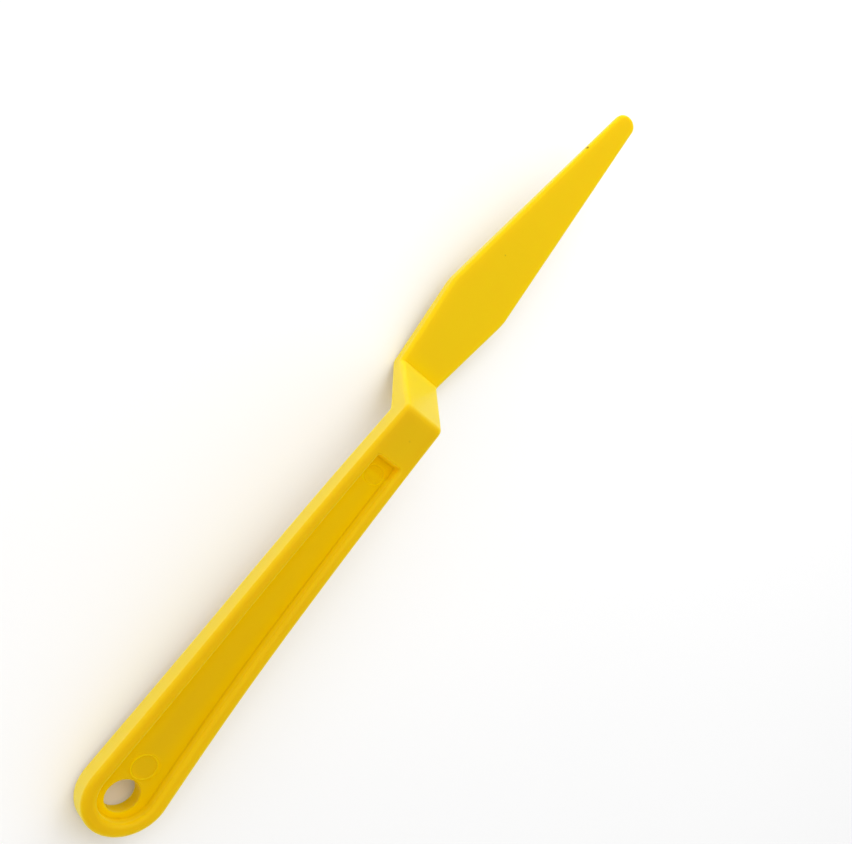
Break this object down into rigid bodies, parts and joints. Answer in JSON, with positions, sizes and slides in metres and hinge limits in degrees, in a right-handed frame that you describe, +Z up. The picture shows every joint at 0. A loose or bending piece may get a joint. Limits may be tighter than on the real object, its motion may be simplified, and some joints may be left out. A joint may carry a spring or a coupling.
{
  "type": "plastic spudger",
  "caption": "Cranked one-piece plastic spudger: rimmed handle with a sunk panel and hang hole, steep neck, and a flat blade tapering to a rounded tip.",
  "frame": {"origin": "middle of the hang hole's wall", "axes": "+X along the tool from the butt to the blade's tip, parallel to the bench; +Z up with the tool lying sunk panel up on its butt and heel; +Y across the tool"},
  "size_m": [0.1964, 0.0168, 0.0239],
  "materials": {
    "yellow_plastic": "satin moulded yellow plastic, smooth, slightly translucent at thin edges"
  },
  "bodies": {
    "root": {"spudger_body": "yellow_plastic"}
  },
  "joints": []
}
